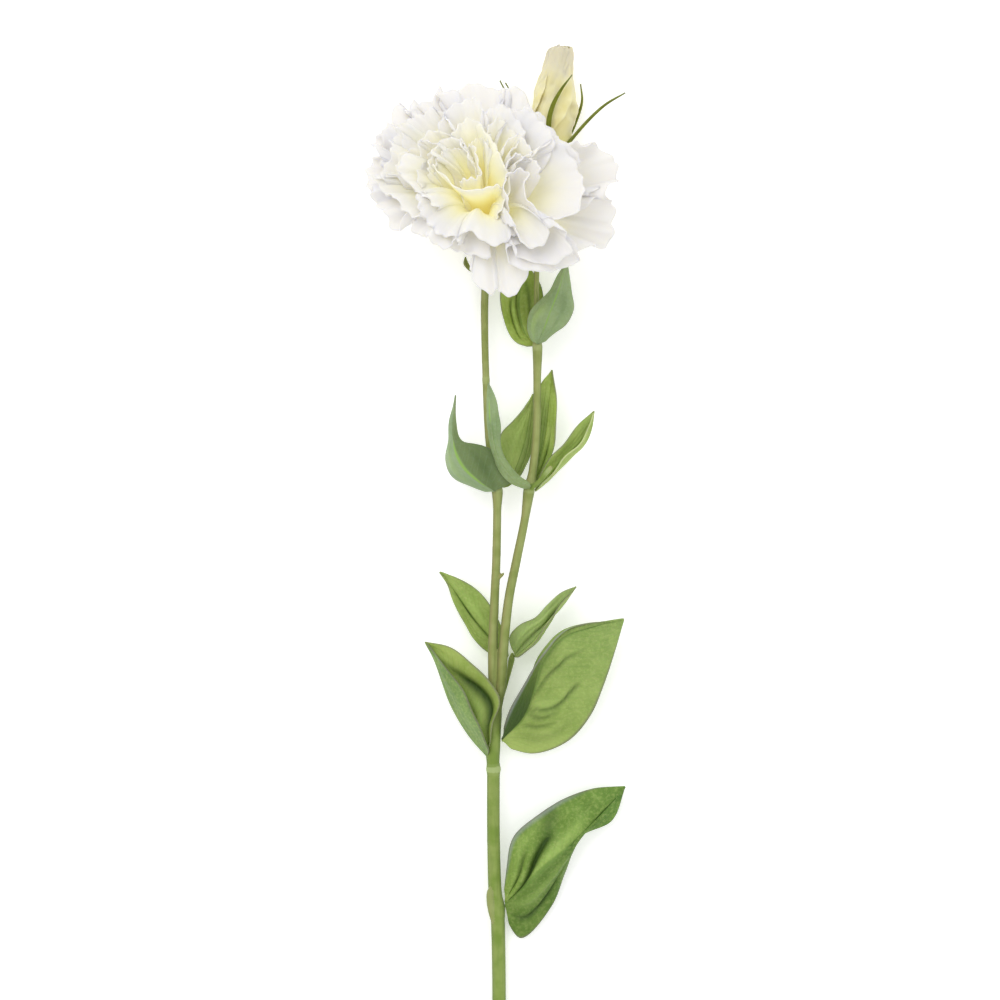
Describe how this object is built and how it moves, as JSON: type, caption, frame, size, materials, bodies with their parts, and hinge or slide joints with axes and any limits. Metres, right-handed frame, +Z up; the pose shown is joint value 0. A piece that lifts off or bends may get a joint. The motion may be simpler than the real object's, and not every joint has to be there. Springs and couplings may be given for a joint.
{
  "type": "cut lisianthus stem",
  "caption": "Cut stem of double lisianthus lying down: an open white ruffled bloom, a cream furled bud and opposite green leaves on a forked stem.",
  "frame": {"origin": "on the surface that the cut stem lies on, under the middle of its footprint", "axes": "+Z up from the surface; the stem runs along +Y from its cut end to its flower; +X to the right seen from above with the flower away from the viewer"},
  "size_m": [0.0888, 0.3796, 0.0538],
  "materials": {
    "stem": "smooth fresh stem, slightly waxy",
    "leaf": "soft satin leaf with a paler blue-green underside",
    "petal": "thin matte petal, white with a cream to yellow heart",
    "bud_petal": "furled matte petals, cream yellow",
    "calyx": "satin green sepals"
  },
  "bodies": {
    "root": {"stem": "stem", "leaf_a_right": "leaf", "leaf_b_left": "leaf", "leaf_b_right": "leaf", "leaf_c_left": "leaf", "leaf_c_right": "leaf", "leaf_d_left": "leaf", "leaf_d_right": "leaf", "leaf_e_left": "leaf", "leaf_e_right": "leaf", "leaf_e_back": "leaf", "leaf_f_left": "leaf", "leaf_f_right": "leaf", "bloom_calyx": "calyx", "bloom": "petal", "bud_calyx": "calyx", "bud": "bud_petal"}
  },
  "joints": []
}
